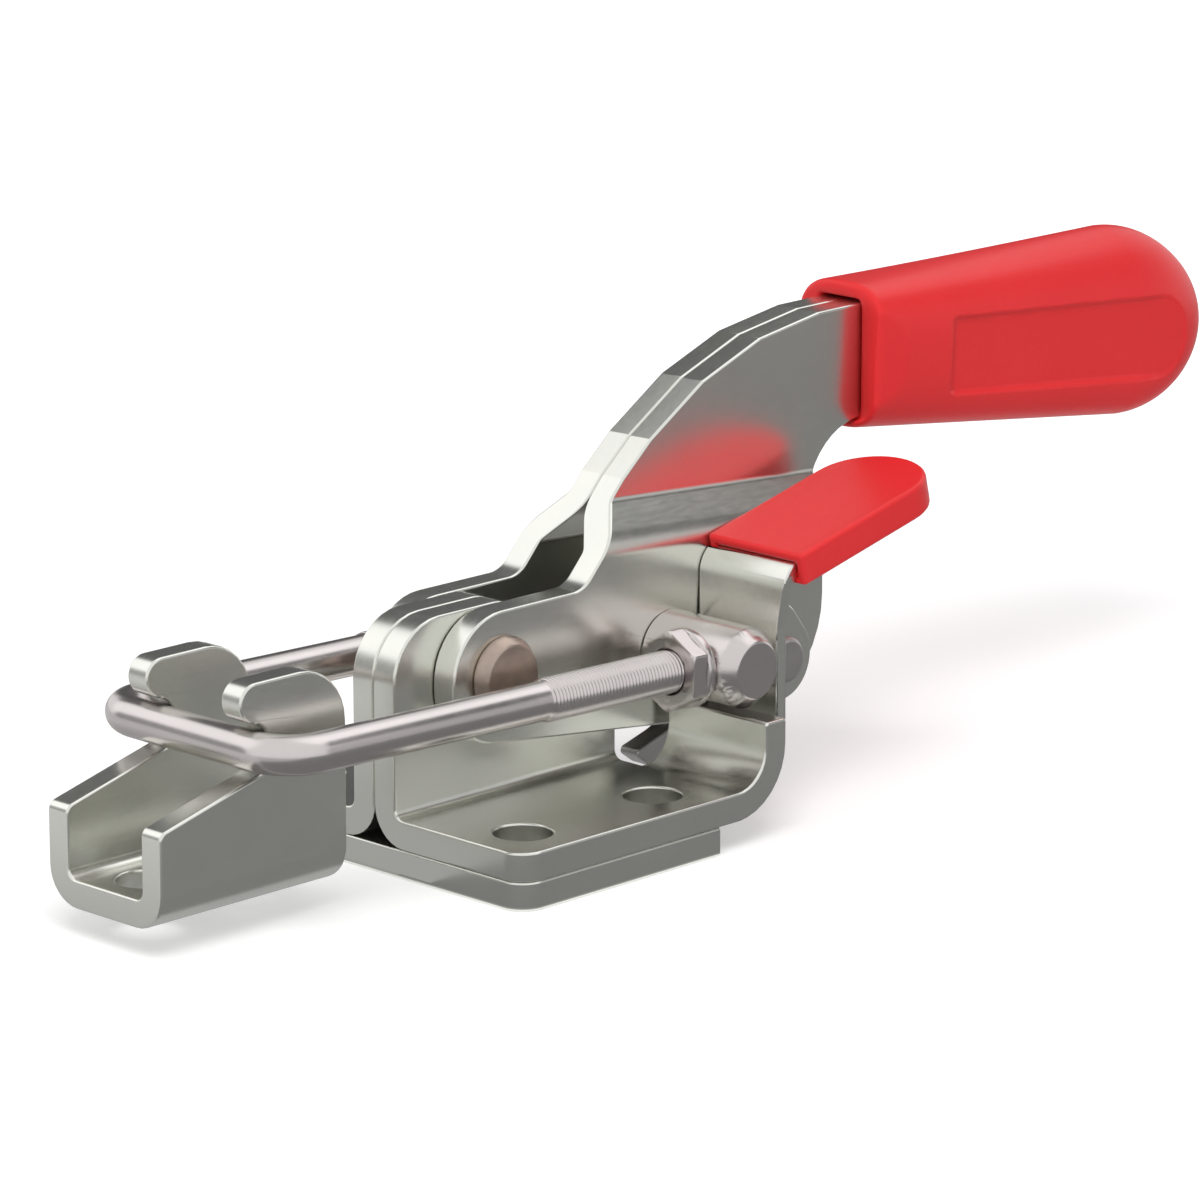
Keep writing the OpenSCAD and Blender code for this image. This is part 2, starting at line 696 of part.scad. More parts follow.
module lock_hook() {
    color(dark_steel) difference() {
        side_profile(-hook_side, hook_t - hook_side) hook_outline();
        cross_rod(shaft_x, shaft_z, shaft_d + 2 * fit_gap, -20, 20);
    }
}

module lever_shaft() {
    near = plate_out + seat_gap + lever_t + fit_gap;
    far = plate_out + seat_gap + 1.2 + fit_gap;
    r = shaft_d / 2;
    head_r = shaft_head_d / 2;
    color(dark_steel) translate([shaft_x, 0, shaft_z]) rotate([90, 0, 0]) rotate_extrude()
        polygon([[0, -far - shaft_head_h], [head_r - 0.9, -far - shaft_head_h],
                 [head_r - 0.4, -far - shaft_head_h + 0.5], [head_r - 0.4, -far], [r, -far],
                 [r, near], [head_r, near], [head_r, near + shaft_head_h - 0.5],
                 [head_r - 0.5, near + shaft_head_h], [0, near + shaft_head_h]]);
}

module shaft_washer() {
    y0 = plate_out + seat_gap;
    color(steel) difference() {
        cross_rod(shaft_x, shaft_z, shaft_head_d + 3, y0, y0 + 1.2);
        cross_rod(shaft_x, shaft_z, shaft_d + 2 * fit_gap, y0 - 1, y0 + 3);
    }
}

// Torsion spring on the shaft: three turns and two straight legs
module lock_spring() {
    y0 = hook_t - hook_side + fit_gap + wire_d / 2;
    turns = 3;
    steps = 24 * turns;
    pitch = wire_d + 0.05;
    sides = 8;
    path = concat(
        [[7.6, y0 - 2.5, -3.2], [7.3, y0, -2.8]],
        [for (i = [0 : steps]) let (a = 360 * turns * i / steps)
            [coil_r * cos(a), y0 + pitch * turns * i / steps, coil_r * sin(a)]],
        [[coil_r, y0 + pitch * turns, anchor_z - shaft_z + anchor_d / 2]]);
    rings = [for (i = [0 : len(path) - 1])
        let (t = unit(path[min(i + 1, len(path) - 1)] - path[max(i - 1, 0)]),
             u = unit(cross(t, [0, 1, 0])), v = cross(t, u))
        each [for (j = [0 : sides - 1]) path[i] + wire_d / 2
                * (u * cos(360 * j / sides) + v * sin(360 * j / sides))]];
    last = (len(path) - 1) * sides;
    faces = concat([[for (j = [0 : sides - 1]) j]],
        [for (i = [0 : len(path) - 2], j = [0 : sides - 1])
            let (k = (j + 1) % sides, b = i * sides) [b + j, b + sides + j, b + sides + k, b + k]],
        [[for (j = [sides - 1 : -1 : 0]) last + j]]);
    color(dark_steel) translate([shaft_x, 0, shaft_z]) polyhedron(rings, faces, convexity = 8);
}

// Side view of the catch plate's two walls and their fingers
module catch_outline() {
    throat_x = -bar_x + rod_d / 2 + 0.25;
    slope_z = catch_front_z + tan(catch_slope) * (catch_front + throat_x);
    tip_r = finger_h / 2 - 0.01;
    polygon(rounded([[-catch_front, sheet_t, 0], [-catch_front, catch_front_z, 1.5],
                     [throat_x, slope_z, 0.6], [throat_x, finger_z, rod_d / 2 + 0.2],
                     [-finger_tip, finger_z, tip_r], [-finger_tip, finger_z + finger_h, tip_r],
                     [-catch_rear, finger_z + finger_h, catch_round_r],
                     [-catch_rear, sheet_t, 0]]));
}

module catch_section() {
    w = catch_w / 2;
    r = catch_bend_r;
    top = finger_z + finger_h + 1;
    polygon(rounded([[-w, sheet_t, r + catch_t], [w, sheet_t, r + catch_t], [w, top, 0],
                     [w - catch_t, top, 0], [w - catch_t, sheet_t + catch_t, r],
                     [catch_t - w, sheet_t + catch_t, r], [catch_t - w, top, 0], [-w, top, 0]]));
}

module catch_plate() {
    w = catch_w / 2;
    color(steel) difference() {
        intersection() {
            cross_profile(-catch_front, -catch_rear) catch_section();
            side_profile(-w - 1, w + 1) catch_outline();
        }
        for (i = [0, 1])
            translate([-catch_front + catch_hole_edge + i * catch_hole_pitch, 0, 0])
                cylinder(d = catch_hole_d, h = sheet_t + catch_t + 1);
    }
}

base_plate();
base_half(false);  // base_half_near
base_half(true);  // base_half_far
pivot_bush();
catch_plate();
pivot_pin();
handle_plate(false);  // handle_plate_near
handle_plate(true);  // handle_plate_far
handle_grip();
spring_anchor_pin();
trunnion(false);  // trunnion_near
trunnion(true);  // trunnion_far
u_bolt();
hex_nut(-1);  // hex_nut_near
hex_nut(1);  // hex_nut_far
release_lever();
lever_cap();
lock_hook();
lever_shaft();
shaft_washer();
lock_spring();
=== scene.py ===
import json
import math

import bmesh
import bpy
from mathutils import Matrix, Vector


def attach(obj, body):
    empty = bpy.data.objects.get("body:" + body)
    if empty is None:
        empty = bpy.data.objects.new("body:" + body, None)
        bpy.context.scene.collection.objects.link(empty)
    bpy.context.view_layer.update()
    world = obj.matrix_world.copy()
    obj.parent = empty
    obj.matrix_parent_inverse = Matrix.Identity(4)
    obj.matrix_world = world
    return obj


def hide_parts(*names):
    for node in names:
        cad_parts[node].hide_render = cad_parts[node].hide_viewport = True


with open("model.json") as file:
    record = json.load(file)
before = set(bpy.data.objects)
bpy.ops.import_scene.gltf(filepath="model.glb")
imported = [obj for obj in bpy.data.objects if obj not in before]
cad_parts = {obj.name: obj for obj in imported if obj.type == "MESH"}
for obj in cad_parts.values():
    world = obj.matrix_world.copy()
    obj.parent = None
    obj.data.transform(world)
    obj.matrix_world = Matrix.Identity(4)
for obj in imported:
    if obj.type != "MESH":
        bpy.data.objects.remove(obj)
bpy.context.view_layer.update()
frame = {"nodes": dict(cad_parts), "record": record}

nodes = frame["nodes"]
scene = bpy.context.scene
MM = 0.001

# Camera: a long lens, low in front of the catch plate, on the release lever's side
CAMERA_AIM = Vector((0.0481, 0.0, 0.0331))
CAMERA_DISTANCE = 0.9228
CAMERA_AZIMUTH = math.radians(-45.46)
CAMERA_ELEVATION = math.radians(14.48)
CAMERA_LENS = 180.0
SENSOR_WIDTH = 36.0

# Studio: the world's light on surfaces, the floor's own glow, and what is added to it far off
WORLD_LEVEL = 0.58
FLOOR_SIZE = 6.0
FLOOR_ALBEDO = 0.8
FLOOR_GLOW = 0.36
FLOOR_FAR_GLOW = 0.40
FLOOR_NEAR = 0.10
FLOOR_FAR = 0.60

# The sizes below are in millimetres, as in the solids that the pieces follow.

# U-bolt: the axes of its trunnions and its bar; X runs along a leg, and is 0 at the trunnions
TRUNNION = Vector((53.9, 0.0, 26.0))
BAR = Vector((-35.4, 0.0, 28.4))
LEG_Y = 19.25
ROD_R = 3.0
ROD_SIDES = 40
BEND_R = 6.6
BEND_STEPS = 18
PLAIN_X = (-44.5, -63.5)

# Thread on both legs: its two ends, and how far each end takes to run out
THREAD_R = 3.35
THREAD_ROOT = 3.08
THREAD_PITCH = 0.7
THREAD_STEPS = 6
THREAD_FLAT = 0.12
THREAD_FRONT = -38.5
THREAD_BACK = 5.3
RUN_OUT = 1.6
TIP_L = 0.9
TIP_SHARE = 0.86

# Nut with a round collar at its back, along the leg
NUT_BACK = -6.35
COLLAR_FRONT = -7.85
NUT_FRONT = -10.85
COLLAR_R = 6.2
NUT_FLAT = 5.6
NUT_BORE = 3.4
NUT_CORNER = 1.14
NUT_CHAMFER = 1.08
CHAMFER_SLOPE = 1.8
NUT_TURNS = (-29.9, -20, -9, -4, -1.5, 0, 1.5, 4, 9, 20)

# Grip: X runs along it from its open end, the mouth
GRIP_X = 101.8
GRIP_Z = 63.7
GRIP_TILT = math.radians(3.4)
GRIP_L = 63.4
GRIP_END_L = 21.4
GRIP_H = 31.2
GRIP_T = 21.4
GRIP_SIDES = 256
GRIP_RINGS = 200
END_RINGS = 60
END_SPREAD = 1.15
MOUTH_H = 23.3
MOUTH_T = 18.9
MOUTH_EDGE = 0.7
MOUTH_SQUARE = 3.2
BACK_SQUARE = 1.9
UNDER_SQUARE = 3.9
FLAT_T = 17.2
FLAT_ANGLE = math.radians(9)
FLAT_BLEND = 0.15

# The bare recess in each side of the grip; its depth is measured from the skin at the mouth
PANEL_X = 16.2
PANEL_L = 59.4
PANEL_H = 12.7
PANEL_DEPTH = 1.1
PANEL_DROP = 0.7
PANEL_TOP_TAPER = 0.9
PANEL_UNDER_TAPER = 2.3
PANEL_CORNER = 2.5
PANEL_CORNER_GROWTH = 4.5
PANEL_OPEN = 0.6
PANEL_WALL = 0.45
PANEL_RAMP = 2.6
PANEL_LEAST_Y = 2.0

# The pocket in the grip for the tang of the handle plates
POCKET_HALF = 4.6
POCKET_BOTTOM = 53.8
POCKET_TOP = 72.8
POCKET_FULL = 3.0
POCKET_SQUARE = 12
TANG_END_X = 150.3
TANG_END_Z = 68.0

# Lock spring on the release lever's shaft
SHAFT = Vector((76.9, 0.0, 20.4))
SPRING_WIRE_R = 0.55
SPRING_WIRE_SIDES = 12
SPRING_COIL_R = 3.45
SPRING_Y = 0.05
SPRING_PITCH = 1.15
SPRING_TURNS = 3
SPRING_STEPS = 32
SPRING_LEG_UP = 13.0

# Edge rounding of the solids: edges that bend more than one angle are rounded, and faces that meet
# at less than the other are joined first
ROUNDED_ABOVE = math.radians(40)
JOINED_BELOW = math.radians(0.6)
ROUNDING_STEPS = 3
LEVER_LEDGE_Z = 29.1


def make_camera():
    data = bpy.data.cameras.new("camera")
    data.lens = CAMERA_LENS
    data.sensor_width = SENSOR_WIDTH
    data.clip_start = 0.05
    data.clip_end = 20.0
    camera = bpy.data.objects.new("camera", data)
    scene.collection.objects.link(camera)
    back = Vector((math.sin(CAMERA_AZIMUTH) * math.cos(CAMERA_ELEVATION),
                   -math.cos(CAMERA_AZIMUTH) * math.cos(CAMERA_ELEVATION),
                   math.sin(CAMERA_ELEVATION)))
    camera.location = CAMERA_AIM + back * CAMERA_DISTANCE
    camera.rotation_mode = "QUATERNION"
    camera.rotation_quaternion = (-back).to_track_quat("-Z", "Y")
    scene.camera = camera


# ---- Node helpers ---------------------------------------------------------------------------

def add_node(tree, kind, place=(0, 0), **values):
    node = tree.nodes.new(kind)
    node.location = place
    for key, value in values.items():
        setattr(node, key, value)
    return node


def set_input(node, name, value):
    node.inputs[name].default_value = value


def smooth_range(tree, place, start, end):
    """A map range node that goes from 0 to 1 with soft ends."""
    node = add_node(tree, "ShaderNodeMapRange", place, interpolation_type="SMOOTHSTEP")
    set_input(node, "From Min", start)
    set_input(node, "From Max", end)
    return node


def new_material(name):
    material = bpy.data.materials.new(name)
    material.use_nodes = True
    return material, material.node_tree


def new_group(name, inputs, output, kind):
    group = bpy.data.node_groups.new(name, "ShaderNodeTree")
    for socket, socket_type, value in inputs:
        made = group.interface.new_socket(socket, in_out="INPUT", socket_type=socket_type)
        made.default_value = value
    group.interface.new_socket(output, in_out="OUTPUT", socket_type=kind)
    start = add_node(group, "NodeGroupInput", (-900, 0))
    end = add_node(group, "NodeGroupOutput", (600, 0))
    return group, start, end


def stretched_noise(tree, scale, stretch, detail, place=(-600, 0)):
    """Noise in the object's own coordinates; scale is a socket, and stretch is along X, Y, Z."""
    coords = add_node(tree, "ShaderNodeTexCoord", (place[0] - 400, place[1]))
    mapping = add_node(tree, "ShaderNodeMapping", (place[0] - 200, place[1]))
    set_input(mapping, "Scale", [1.0 / s for s in stretch])
    noise = add_node(tree, "ShaderNodeTexNoise", place)
    set_input(noise, "Detail", detail)
    tree.links.new(coords.outputs["Object"], mapping.inputs["Vector"])
    tree.links.new(mapping.outputs["Vector"], noise.inputs["Vector"])
    tree.links.new(scale, noise.inputs["Scale"])
    return noise.outputs["Fac"]


# ---- Finishes -------------------------------------------------------------------------------

def grain_group():
    """Fine surface grain, as a bumped normal."""
    group, start, end = new_group(
        "surface grain",
        [("Scale", "NodeSocketFloat", 2500.0), ("Height", "NodeSocketFloat", 0.00001),
         ("Strength", "NodeSocketFloat", 0.2)],
        "Normal", "NodeSocketVector")
    grain = stretched_noise(group, start.outputs["Scale"], (1, 1, 1), 4.0)
    bump = add_node(group, "ShaderNodeBump", (200, 0))
    group.links.new(start.outputs["Strength"], bump.inputs["Strength"])
    group.links.new(start.outputs["Height"], bump.inputs["Distance"])
    group.links.new(grain, bump.inputs["Height"])
    group.links.new(bump.outputs["Normal"], end.inputs["Normal"])
    return group


def patches_group():
    """Slow drift between two tones, with finer speckle on top."""
    group, start, end = new_group(
        "tone patches",
        [("Tone", "NodeSocketColor", (0.6, 0.6, 0.56, 1)),
         ("Other Tone", "NodeSocketColor", (0.5, 0.5, 0.5, 1)),
         ("Scale", "NodeSocketFloat", 60.0), ("Speckle", "NodeSocketFloat", 900.0)],
        "Color", "NodeSocketColor")
    slow = stretched_noise(group, start.outputs["Scale"], (1, 1, 1), 2.0, (-600, 200))
    fine = stretched_noise(group, start.outputs["Speckle"], (1, 1, 1), 2.0, (-600, -200))
    speckle_share = 0.35
    both = add_node(group, "ShaderNodeMath", (-300, 0), operation="MULTIPLY_ADD")
    set_input(both, 1, speckle_share)
    group.links.new(fine, both.inputs[0])
    group.links.new(slow, both.inputs[2])
    drift = add_node(group, "ShaderNodeMapRange", (-100, 0))
    set_input(drift, "From Min", 0.45)
    set_input(drift, "From Max", 0.9)
    group.links.new(both.outputs[0], drift.inputs["Value"])
    mix = add_node(group, "ShaderNodeMix", (200, 0), data_type="RGBA")
    group.links.new(drift.outputs["Result"], mix.inputs["Factor"])
    group.links.new(start.outputs["Tone"], mix.inputs["A"])
    group.links.new(start.outputs["Other Tone"], mix.inputs["B"])
    group.links.new(mix.outputs["Result"], end.inputs["Color"])
    return group


def lines_group():
    """Fine drawn or rolled lines that run along X: a roughness between two values."""
    group, start, end = new_group(
        "drawn lines",
        [("Scale", "NodeSocketFloat", 1500.0), ("Low", "NodeSocketFloat", 0.25),
         ("High", "NodeSocketFloat", 0.35)],
        "Roughness", "NodeSocketFloat")
    lines = stretched_noise(group, start.outputs["Scale"], (4, 1, 1), 3.0)
    between = add_node(group, "ShaderNodeMapRange", (0, 0))
    set_input(between, "From Min", 0.3)
    set_input(between, "From Max", 0.7)
    group.links.new(lines, between.inputs["Value"])
    group.links.new(start.outputs["Low"], between.inputs["To Min"])
    group.links.new(start.outputs["High"], between.inputs["To Max"])
    group.links.new(between.outputs["Result"], end.inputs["Roughness"])
    return group


GRAIN = grain_group()
PATCHES = patches_group()
LINES = lines_group()


def place_group(tree, group, place, **values):
    node = add_node(tree, "ShaderNodeGroup", place)
    node.node_tree = group
    for name, value in values.items():
        set_input(node, name.replace("_", " "), value)
    return node


def surface(name, tone, other, metallic, rough, patch_scale=60.0, grain_scale=2500.0,
            grain_strength=0.2, specular=0.5):
    """A Principled finish with drifting tone, uneven roughness and a fine grain."""
    material, tree = new_material(name)
    shader = tree.nodes["Principled BSDF"]
    patches = place_group(tree, PATCHES, (-500, 300), Tone=(*tone, 1), Other_Tone=(*other, 1),
                          Scale=patch_scale)
    lines = place_group(tree, LINES, (-500, 0), Low=rough[0], High=rough[1])
    grain = place_group(tree, GRAIN, (-500, -300), Scale=grain_scale, Strength=grain_strength)
    set_input(shader, "Metallic", metallic)
    set_input(shader, "Specular IOR Level", specular)
    tree.links.new(patches.outputs["Color"], shader.inputs["Base Color"])
    tree.links.new(lines.outputs["Roughness"], shader.inputs["Roughness"])
    tree.links.new(grain.outputs["Normal"], shader.inputs["Normal"])
    return material


# ---- Studio ---------------------------------------------------------------------------------

def seen_by_eye(tree, place=(-600, 300)):
    """1 for camera, glossy and transmission rays, 0 for the rest."""
    path = add_node(tree, "ShaderNodeLightPath", place)
    first = add_node(tree, "ShaderNodeMath", (place[0] + 200, place[1]), operation="MAXIMUM")
    both = add_node(tree, "ShaderNodeMath", (place[0] + 400, place[1]), operation="MAXIMUM")
    tree.links.new(path.outputs["Is Camera Ray"], first.inputs[0])
    tree.links.new(path.outputs["Is Glossy Ray"], first.inputs[1])
    tree.links.new(first.outputs[0], both.inputs[0])
    tree.links.new(path.outputs["Is Transmission Ray"], both.inputs[1])
    return both.outputs[0]


def make_world():
    world = bpy.data.worlds.new("studio")
    scene.world = world
    world.use_nodes = True
    tree = world.node_tree
    background = tree.nodes["Background"]
    level = add_node(tree, "ShaderNodeMapRange", (-200, 200))
    set_input(level, "To Min", WORLD_LEVEL)
    set_input(level, "To Max", 1.0)
    tree.links.new(seen_by_eye(tree), level.inputs["Value"])
    set_input(background, "Color", (1, 1, 1, 1))
    tree.links.new(level.outputs["Result"], background.inputs["Strength"])


def make_floor():
    """A matt white floor whose glow lifts it to the background's white and keeps the shadow."""
    material, tree = new_material("floor")
    shader = tree.nodes["Principled BSDF"]
    set_input(shader, "Base Color", (FLOOR_ALBEDO, FLOOR_ALBEDO, FLOOR_ALBEDO, 1))
    set_input(shader, "Roughness", 1.0)
    set_input(shader, "Specular IOR Level", 0.0)
    position = add_node(tree, "ShaderNodeNewGeometry", (-900, -500))
    away = add_node(tree, "ShaderNodeVectorMath", (-700, -500), operation="LENGTH")
    tree.links.new(position.outputs["Position"], away.inputs[0])
    further = smooth_range(tree, (-500, -500), FLOOR_NEAR, FLOOR_FAR)
    set_input(further, "To Min", FLOOR_GLOW)
    set_input(further, "To Max", FLOOR_GLOW + FLOOR_FAR_GLOW)
    tree.links.new(away.outputs["Value"], further.inputs["Value"])
    glow = add_node(tree, "ShaderNodeMath", (-100, -200), operation="MULTIPLY")
    tree.links.new(further.outputs["Result"], glow.inputs[1])
    tree.links.new(seen_by_eye(tree, (-900, -200)), glow.inputs[0])
    set_input(shader, "Emission Color", (1, 1, 1, 1))
    tree.links.new(glow.outputs[0], shader.inputs["Emission Strength"])
    bpy.ops.mesh.primitive_plane_add(size=FLOOR_SIZE, location=(0, 0, 0))
    floor = bpy.context.object
    floor.name = "floor"
    floor.data.materials.append(material)


def glowing_material(name):
    """A material that only glows, and the glow's node."""
    material, tree = new_material(name)
    tree.nodes.remove(tree.nodes["Principled BSDF"])
    glow = add_node(tree, "ShaderNodeEmission", (600, 0))
    tree.links.new(glow.outputs["Emission"], tree.nodes["Material Output"].inputs["Surface"])
    return material, tree, glow


def only_reflections(card, name, material):
    card.name = name
    card.data.materials.append(material)
    card.visible_camera = False
    card.visible_diffuse = False
    card.visible_shadow = False
    card.visible_transmission = False


def studio_tent(centre, radius, base, spots):
    """A dome that only reflections see: white, with soft darker and brighter spots by direction."""
    material, tree, glow = glowing_material("studio_tent")
    coords = add_node(tree, "ShaderNodeTexCoord", (-900, 0))
    unit = add_node(tree, "ShaderNodeVectorMath", (-700, 0), operation="NORMALIZE")
    tree.links.new(coords.outputs["Object"], unit.inputs[0])
    level = None
    for place, (direction, inner, outer, value) in enumerate(spots):
        row = -150 * place
        along = add_node(tree, "ShaderNodeVectorMath", (-500, row), operation="DOT_PRODUCT")
        tree.links.new(unit.outputs["Vector"], along.inputs[0])
        set_input(along, 1, Vector(direction).normalized())
        inside = smooth_range(tree, (-300, row), math.cos(math.radians(outer)),
                              math.cos(math.radians(inner)))
        tree.links.new(along.outputs["Value"], inside.inputs["Value"])
        blend = add_node(tree, "ShaderNodeMix", (-100, row), data_type="FLOAT")
        tree.links.new(inside.outputs["Result"], blend.inputs["Factor"])
        if level is None:
            set_input(blend, "A", base)
        else:
            tree.links.new(level, blend.inputs["A"])
        set_input(blend, "B", value)
        level = blend.outputs["Result"]
    tree.links.new(level, glow.inputs["Strength"])
    bpy.ops.mesh.primitive_uv_sphere_add(segments=64, ring_count=32, radius=radius, location=centre)
    only_reflections(bpy.context.object, "studio_tent", material)


def floor_sheet(name, centre, size, spot, inner, outer, level, far_level):
    """A plain sheet on the floor that only reflections see, with one soft spot on it where it is
    darker: painted shade of the floor near the object.
    """
    material, tree, glow = glowing_material(name)
    position = add_node(tree, "ShaderNodeNewGeometry", (-900, 0))
    away = add_node(tree, "ShaderNodeVectorMath", (-700, 0), operation="DISTANCE")
    set_input(away, 1, Vector(spot))
    tree.links.new(position.outputs["Position"], away.inputs[0])
    inside = smooth_range(tree, (-500, 0), inner, outer)
    set_input(inside, "To Min", level)
    set_input(inside, "To Max", far_level)
    tree.links.new(away.outputs["Value"], inside.inputs["Value"])
    tree.links.new(inside.outputs["Result"], glow.inputs["Strength"])
    bpy.ops.mesh.primitive_plane_add(size=1.0, location=centre)
    sheet = bpy.context.object
    sheet.scale = (*size, 1)
    only_reflections(sheet, name, material)


def softbox(name, place, aim, size, power):
    data = bpy.data.lights.new(name, "AREA")
    data.shape = "SQUARE"
    data.size = size
    data.energy = power
    lamp = bpy.data.objects.new(name, data)
    lamp.location = place
    lamp.rotation_mode = "QUATERNION"
    lamp.rotation_quaternion = (Vector(aim) - Vector(place)).to_track_quat("-Z", "Y")
    scene.collection.objects.link(lamp)
    lamp.visible_camera = False
    lamp.visible_glossy = False


# ---- Shape helpers --------------------------------------------------------------------------

def mesh_piece(name, points, faces, material, body, slot, *replaced):
    """A smooth-shaded piece from points in millimetres, standing for the CAD nodes it replaces."""
    mesh = bpy.data.meshes.new(name)
    mesh.from_pydata([Vector(p) * MM for p in points], [], faces)
    mesh.validate()
    mesh.update()
    shape = bmesh.new()
    shape.from_mesh(mesh)
    bmesh.ops.recalc_face_normals(shape, faces=shape.faces)
    shape.to_mesh(mesh)
    shape.free()
    for face in mesh.polygons:
        face.use_smooth = True
    piece = bpy.data.objects.new(name, mesh)
    scene.collection.objects.link(piece)
    mesh.materials.append(material)
    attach(piece, body)
    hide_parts(*replaced)
    return piece


def ring_faces(rings, sides, close=True):
    """Quads between consecutive rings of points, with one face over each end if it is closed."""
    faces = []
    for i in range(rings - 1):
        for j in range(sides):
            k = (j + 1) % sides
            faces.append((i * sides + j, (i + 1) * sides + j, (i + 1) * sides + k, i * sides + k))
    if close:
        faces.append(tuple(range(sides)))
        faces.append(tuple(range((rings - 1) * sides, rings * sides)))
    return faces


def smooth(t):
    """0 below 0, 1 above 1, with a soft start and end between them."""
    t = min(max(t, 0.0), 1.0)
    return t * t * (3 - 2 * t)


def soft_min(a, b, k):
    """The smaller of two lengths, rounded off where they differ by less than k."""
    h = max(k - abs(a - b), 0) / k
    return min(a, b) - h * h * k / 4


def oval(w, h, a, square):
    """Point of a squared oval at the angle a; square is 2 for an ellipse and more for a box."""
    c, s = math.cos(a), math.sin(a)
    k = (abs(c) ** square + abs(s) ** square) ** (-1 / square)
    return w * k * c, h * k * s


# ---- U-bolt and nuts ------------------------------------------------------------------------

def bolt_to_world():
    """The U-bolt's own axes placed in the frame, and its length from trunnions to bar."""
    run = math.hypot(TRUNNION.x - BAR.x, BAR.z - TRUNNION.z)
    angle = math.atan2(BAR.z - TRUNNION.z, TRUNNION.x - BAR.x)
    return Matrix.Translation(TRUNNION) @ Matrix.Rotation(angle, 4, "Y"), run


def thread_radius(x, turn):
    """Radius of the leg at the distance x along it, for the angle turn, with its thread."""
    phase = (x / THREAD_PITCH - turn / (2 * math.pi)) % 1.0
    ridge = abs(2 * phase - 1)
    ridge = min(max((ridge - THREAD_FLAT) / (1 - 2 * THREAD_FLAT), 0.0), 1.0)
    cut = THREAD_ROOT + (THREAD_R - THREAD_ROOT) * ridge
    front = smooth((x - THREAD_FRONT) / RUN_OUT)
    tip = smooth((THREAD_BACK - x) / TIP_L)
    return (ROD_R + (cut - ROD_R) * front) * (TIP_SHARE + (1 - TIP_SHARE) * tip)


def u_bolt_path(run):
    """Points along the rod, each with its direction, and its x where it is threaded."""
    step = THREAD_PITCH / THREAD_STEPS
    count = int((THREAD_BACK - THREAD_FRONT) / step)
    forward = Vector((-1, 0, 0))
    path = []
    for i in range(count + 1):
        x = THREAD_BACK - i * step
        path.append((Vector((x, LEG_Y, 0)), forward, x))
    for x in PLAIN_X:
        path.append((Vector((x, LEG_Y, 0)), forward, None))
    corner = Vector((-run + BEND_R, LEG_Y - BEND_R, 0))
    for i in range(BEND_STEPS + 1):
        a = math.radians(90 + 90 * i / BEND_STEPS)
        path.append((corner + Vector((math.cos(a), math.sin(a), 0)) * BEND_R,
                     Vector((-math.sin(a), math.cos(a), 0)), None))
    path.append((Vector((-run, 0, 0)), Vector((0, -1, 0)), None))
    for point, direction, x in reversed(path[:-1]):
        path.append((Vector((point.x, -point.y, 0)), Vector((-direction.x, direction.y, 0)), x))
    return path


def make_u_bolt(material):
    place, run = bolt_to_world()
    path = u_bolt_path(run)
    up = Vector((0, 0, 1))
    points = []
    for point, direction, x in path:
        side = direction.cross(up)
        for j in range(ROD_SIDES):
            turn = 2 * math.pi * j / ROD_SIDES
            r = ROD_R if x is None else thread_radius(x, turn)
            points.append(place @ (point + (side * math.cos(turn) + up * math.sin(turn)) * r))
    mesh_piece("threaded_u_bolt", points, ring_faces(len(path), ROD_SIDES), material,
               "u_bolt", "bright_steel", "u_bolt")


def nut_radius(a):
    """Radius of the hexagon with rounded corners at the angle a; a corner is at 90 degrees."""
    from_corner = (math.degrees(a) - 90 + 30) % 60 - 30
    hexagon = NUT_FLAT / math.cos(math.radians(30 - abs(from_corner)))
    return soft_min(hexagon, NUT_FLAT * NUT_CORNER, 0.1)


def make_nut(name, side, material):
    """A thin hexagon nut with a round collar and a chamfered front face, one corner pointing up."""
    place, _ = bolt_to_world()
    angles = [math.radians(90 + 60 * corner + turn) for corner in range(6) for turn in NUT_TURNS]
    # Rings from the bore at the back, over the collar and the hexagon, to the bore at the front:
    # x, the radius that the hexagon is cut to, or else the radius of a round ring
    uncut = NUT_FLAT * 2
    skin = [(NUT_BACK, None, NUT_BORE)]
    skin += [(x, None, COLLAR_R - less) for x, less in (
        (NUT_BACK, 0.3), (NUT_BACK - 0.1, 0.09), (NUT_BACK - 0.3, 0.0),
        (COLLAR_FRONT + 0.3, 0.0), (COLLAR_FRONT + 0.1, 0.09), (COLLAR_FRONT, 0.3))]
    skin += [(COLLAR_FRONT, uncut, None), (COLLAR_FRONT - 0.2, uncut, None)]
    skin += [(NUT_FRONT + rise, NUT_FLAT * NUT_CHAMFER + CHAMFER_SLOPE * rise, None)
             for rise in (0.6, 0.3, 0.15, 0.0)]
    skin += [(NUT_FRONT, NUT_FLAT - 0.5, None)]
    skin += [(NUT_FRONT + rise, None, NUT_BORE + grow)
             for rise, grow in ((0.0, 0.45), (0.1, 0.3), (0.45, 0.0))]
    points = []
    for x, cut_to, round_r in skin:
        for a in angles:
            r = round_r if cut_to is None else min(nut_radius(a), cut_to)
            points.append(place @ Vector((x, side * LEG_Y + r * math.cos(a), r * math.sin(a))))
    count = len(angles)
    faces = ring_faces(len(skin), count, close=False)
    last = (len(skin) - 1) * count
    faces += [(last + j, j, (j + 1) % count, last + (j + 1) % count) for j in range(count)]
    nut = mesh_piece(name, points, faces, material, "u_bolt", "bright_steel",
                     "hex_nut_far" if side > 0 else "hex_nut_near")
    nut.modifiers.new("normals", "WEIGHTED_NORMAL").keep_sharp = False


# ---- Grip -----------------------------------------------------------------------------------

